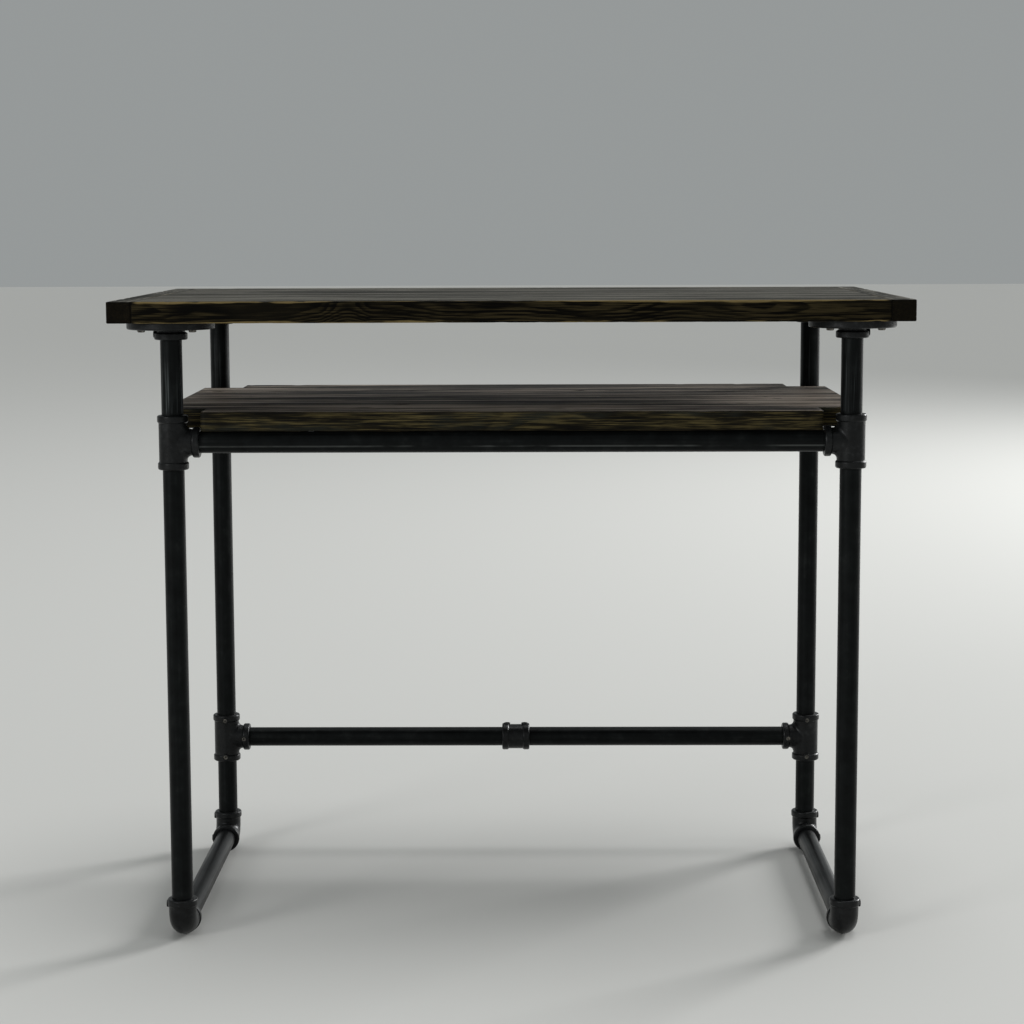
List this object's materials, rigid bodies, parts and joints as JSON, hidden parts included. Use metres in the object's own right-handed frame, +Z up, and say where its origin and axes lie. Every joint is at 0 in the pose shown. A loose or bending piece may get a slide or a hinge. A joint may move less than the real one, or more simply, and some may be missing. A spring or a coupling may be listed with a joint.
{
  "type": "pipe frame desk",
  "caption": "Desk with a plank top on a black steel pipe frame, with a plank shelf below the top and a low rear stretcher that both clamp to the legs and slide along them.",
  "frame": {"origin": "on the floor, under the middle of the desk's outline seen from above", "axes": "+X along the front edge towards the right as seen from the front, +Y from front to back, +Z up"},
  "size_m": [0.97, 0.56, 0.802],
  "materials": {
    "top_wood": "dark stained, satin, worn to a lighter brown along the edges",
    "shelf_wood": "grey brown weathered boards, matt",
    "pipe_steel": "black mill finish, satin",
    "cast_fitting": "black cast surface, slightly rough",
    "screw_steel": "black oxide, worn bright in the recess"
  },
  "bodies": {
    "stand": {"elbow_front_left": "cast_fitting", "elbow_front_right": "cast_fitting", "elbow_rear_left": "cast_fitting", "elbow_rear_right": "cast_fitting", "elbow_set_screws_front_left": "screw_steel", "elbow_set_screws_front_right": "screw_steel", "elbow_set_screws_rear_left": "screw_steel", "elbow_set_screws_rear_right": "screw_steel", "flange_front_left": "cast_fitting", "flange_front_right": "cast_fitting", "flange_rear_left": "cast_fitting", "flange_rear_right": "cast_fitting", "flange_set_screws_front_left": "screw_steel", "flange_set_screws_front_right": "screw_steel", "flange_set_screws_rear_left": "screw_steel", "flange_set_screws_rear_right": "screw_steel", "foot_pipe_left": "pipe_steel", "foot_pipe_right": "pipe_steel", "leg_front_left": "pipe_steel", "leg_front_right": "pipe_steel", "leg_rear_left": "pipe_steel", "leg_rear_right": "pipe_steel", "top_board_1": "top_wood", "top_board_2": "top_wood", "top_board_3": "top_wood", "top_board_4": "top_wood", "top_end_left": "top_wood", "top_end_right": "top_wood", "top_strip_front": "top_wood", "top_strip_rear": "top_wood", "wood_screws_front_left": "screw_steel", "wood_screws_front_right": "screw_steel", "wood_screws_rear_left": "screw_steel", "wood_screws_rear_right": "screw_steel"},
    "shelf_unit": {"shelf_board_1": "shelf_wood", "shelf_board_2": "shelf_wood", "shelf_board_3": "shelf_wood", "shelf_board_4": "shelf_wood", "shelf_rail_front": "pipe_steel", "shelf_rail_rear": "pipe_steel", "shelf_tee_front_left": "cast_fitting", "shelf_tee_front_right": "cast_fitting", "shelf_tee_rear_left": "cast_fitting", "shelf_tee_rear_right": "cast_fitting", "shelf_tee_set_screws_front_left": "screw_steel", "shelf_tee_set_screws_front_right": "screw_steel", "shelf_tee_set_screws_rear_left": "screw_steel", "shelf_tee_set_screws_rear_right": "screw_steel"},
    "stretcher_unit": {"stretcher_coupling": "cast_fitting", "stretcher_coupling_set_screws": "screw_steel", "stretcher_pipe_left": "pipe_steel", "stretcher_pipe_right": "pipe_steel", "stretcher_tee_left": "cast_fitting", "stretcher_tee_right": "cast_fitting", "stretcher_tee_set_screws_left": "screw_steel", "stretcher_tee_set_screws_right": "screw_steel"}
  },
  "joints": [
    {"name": "shelf_slide", "type": "slide", "parent": "stand", "child": "shelf_unit", "axis": [0, 0, 1], "range_m": [-0.3, 0.06]},
    {"name": "stretcher_slide", "type": "slide", "parent": "stand", "child": "stretcher_unit", "axis": [0, 0, 1], "range_m": [-0.07, 0.05]}
  ]
}
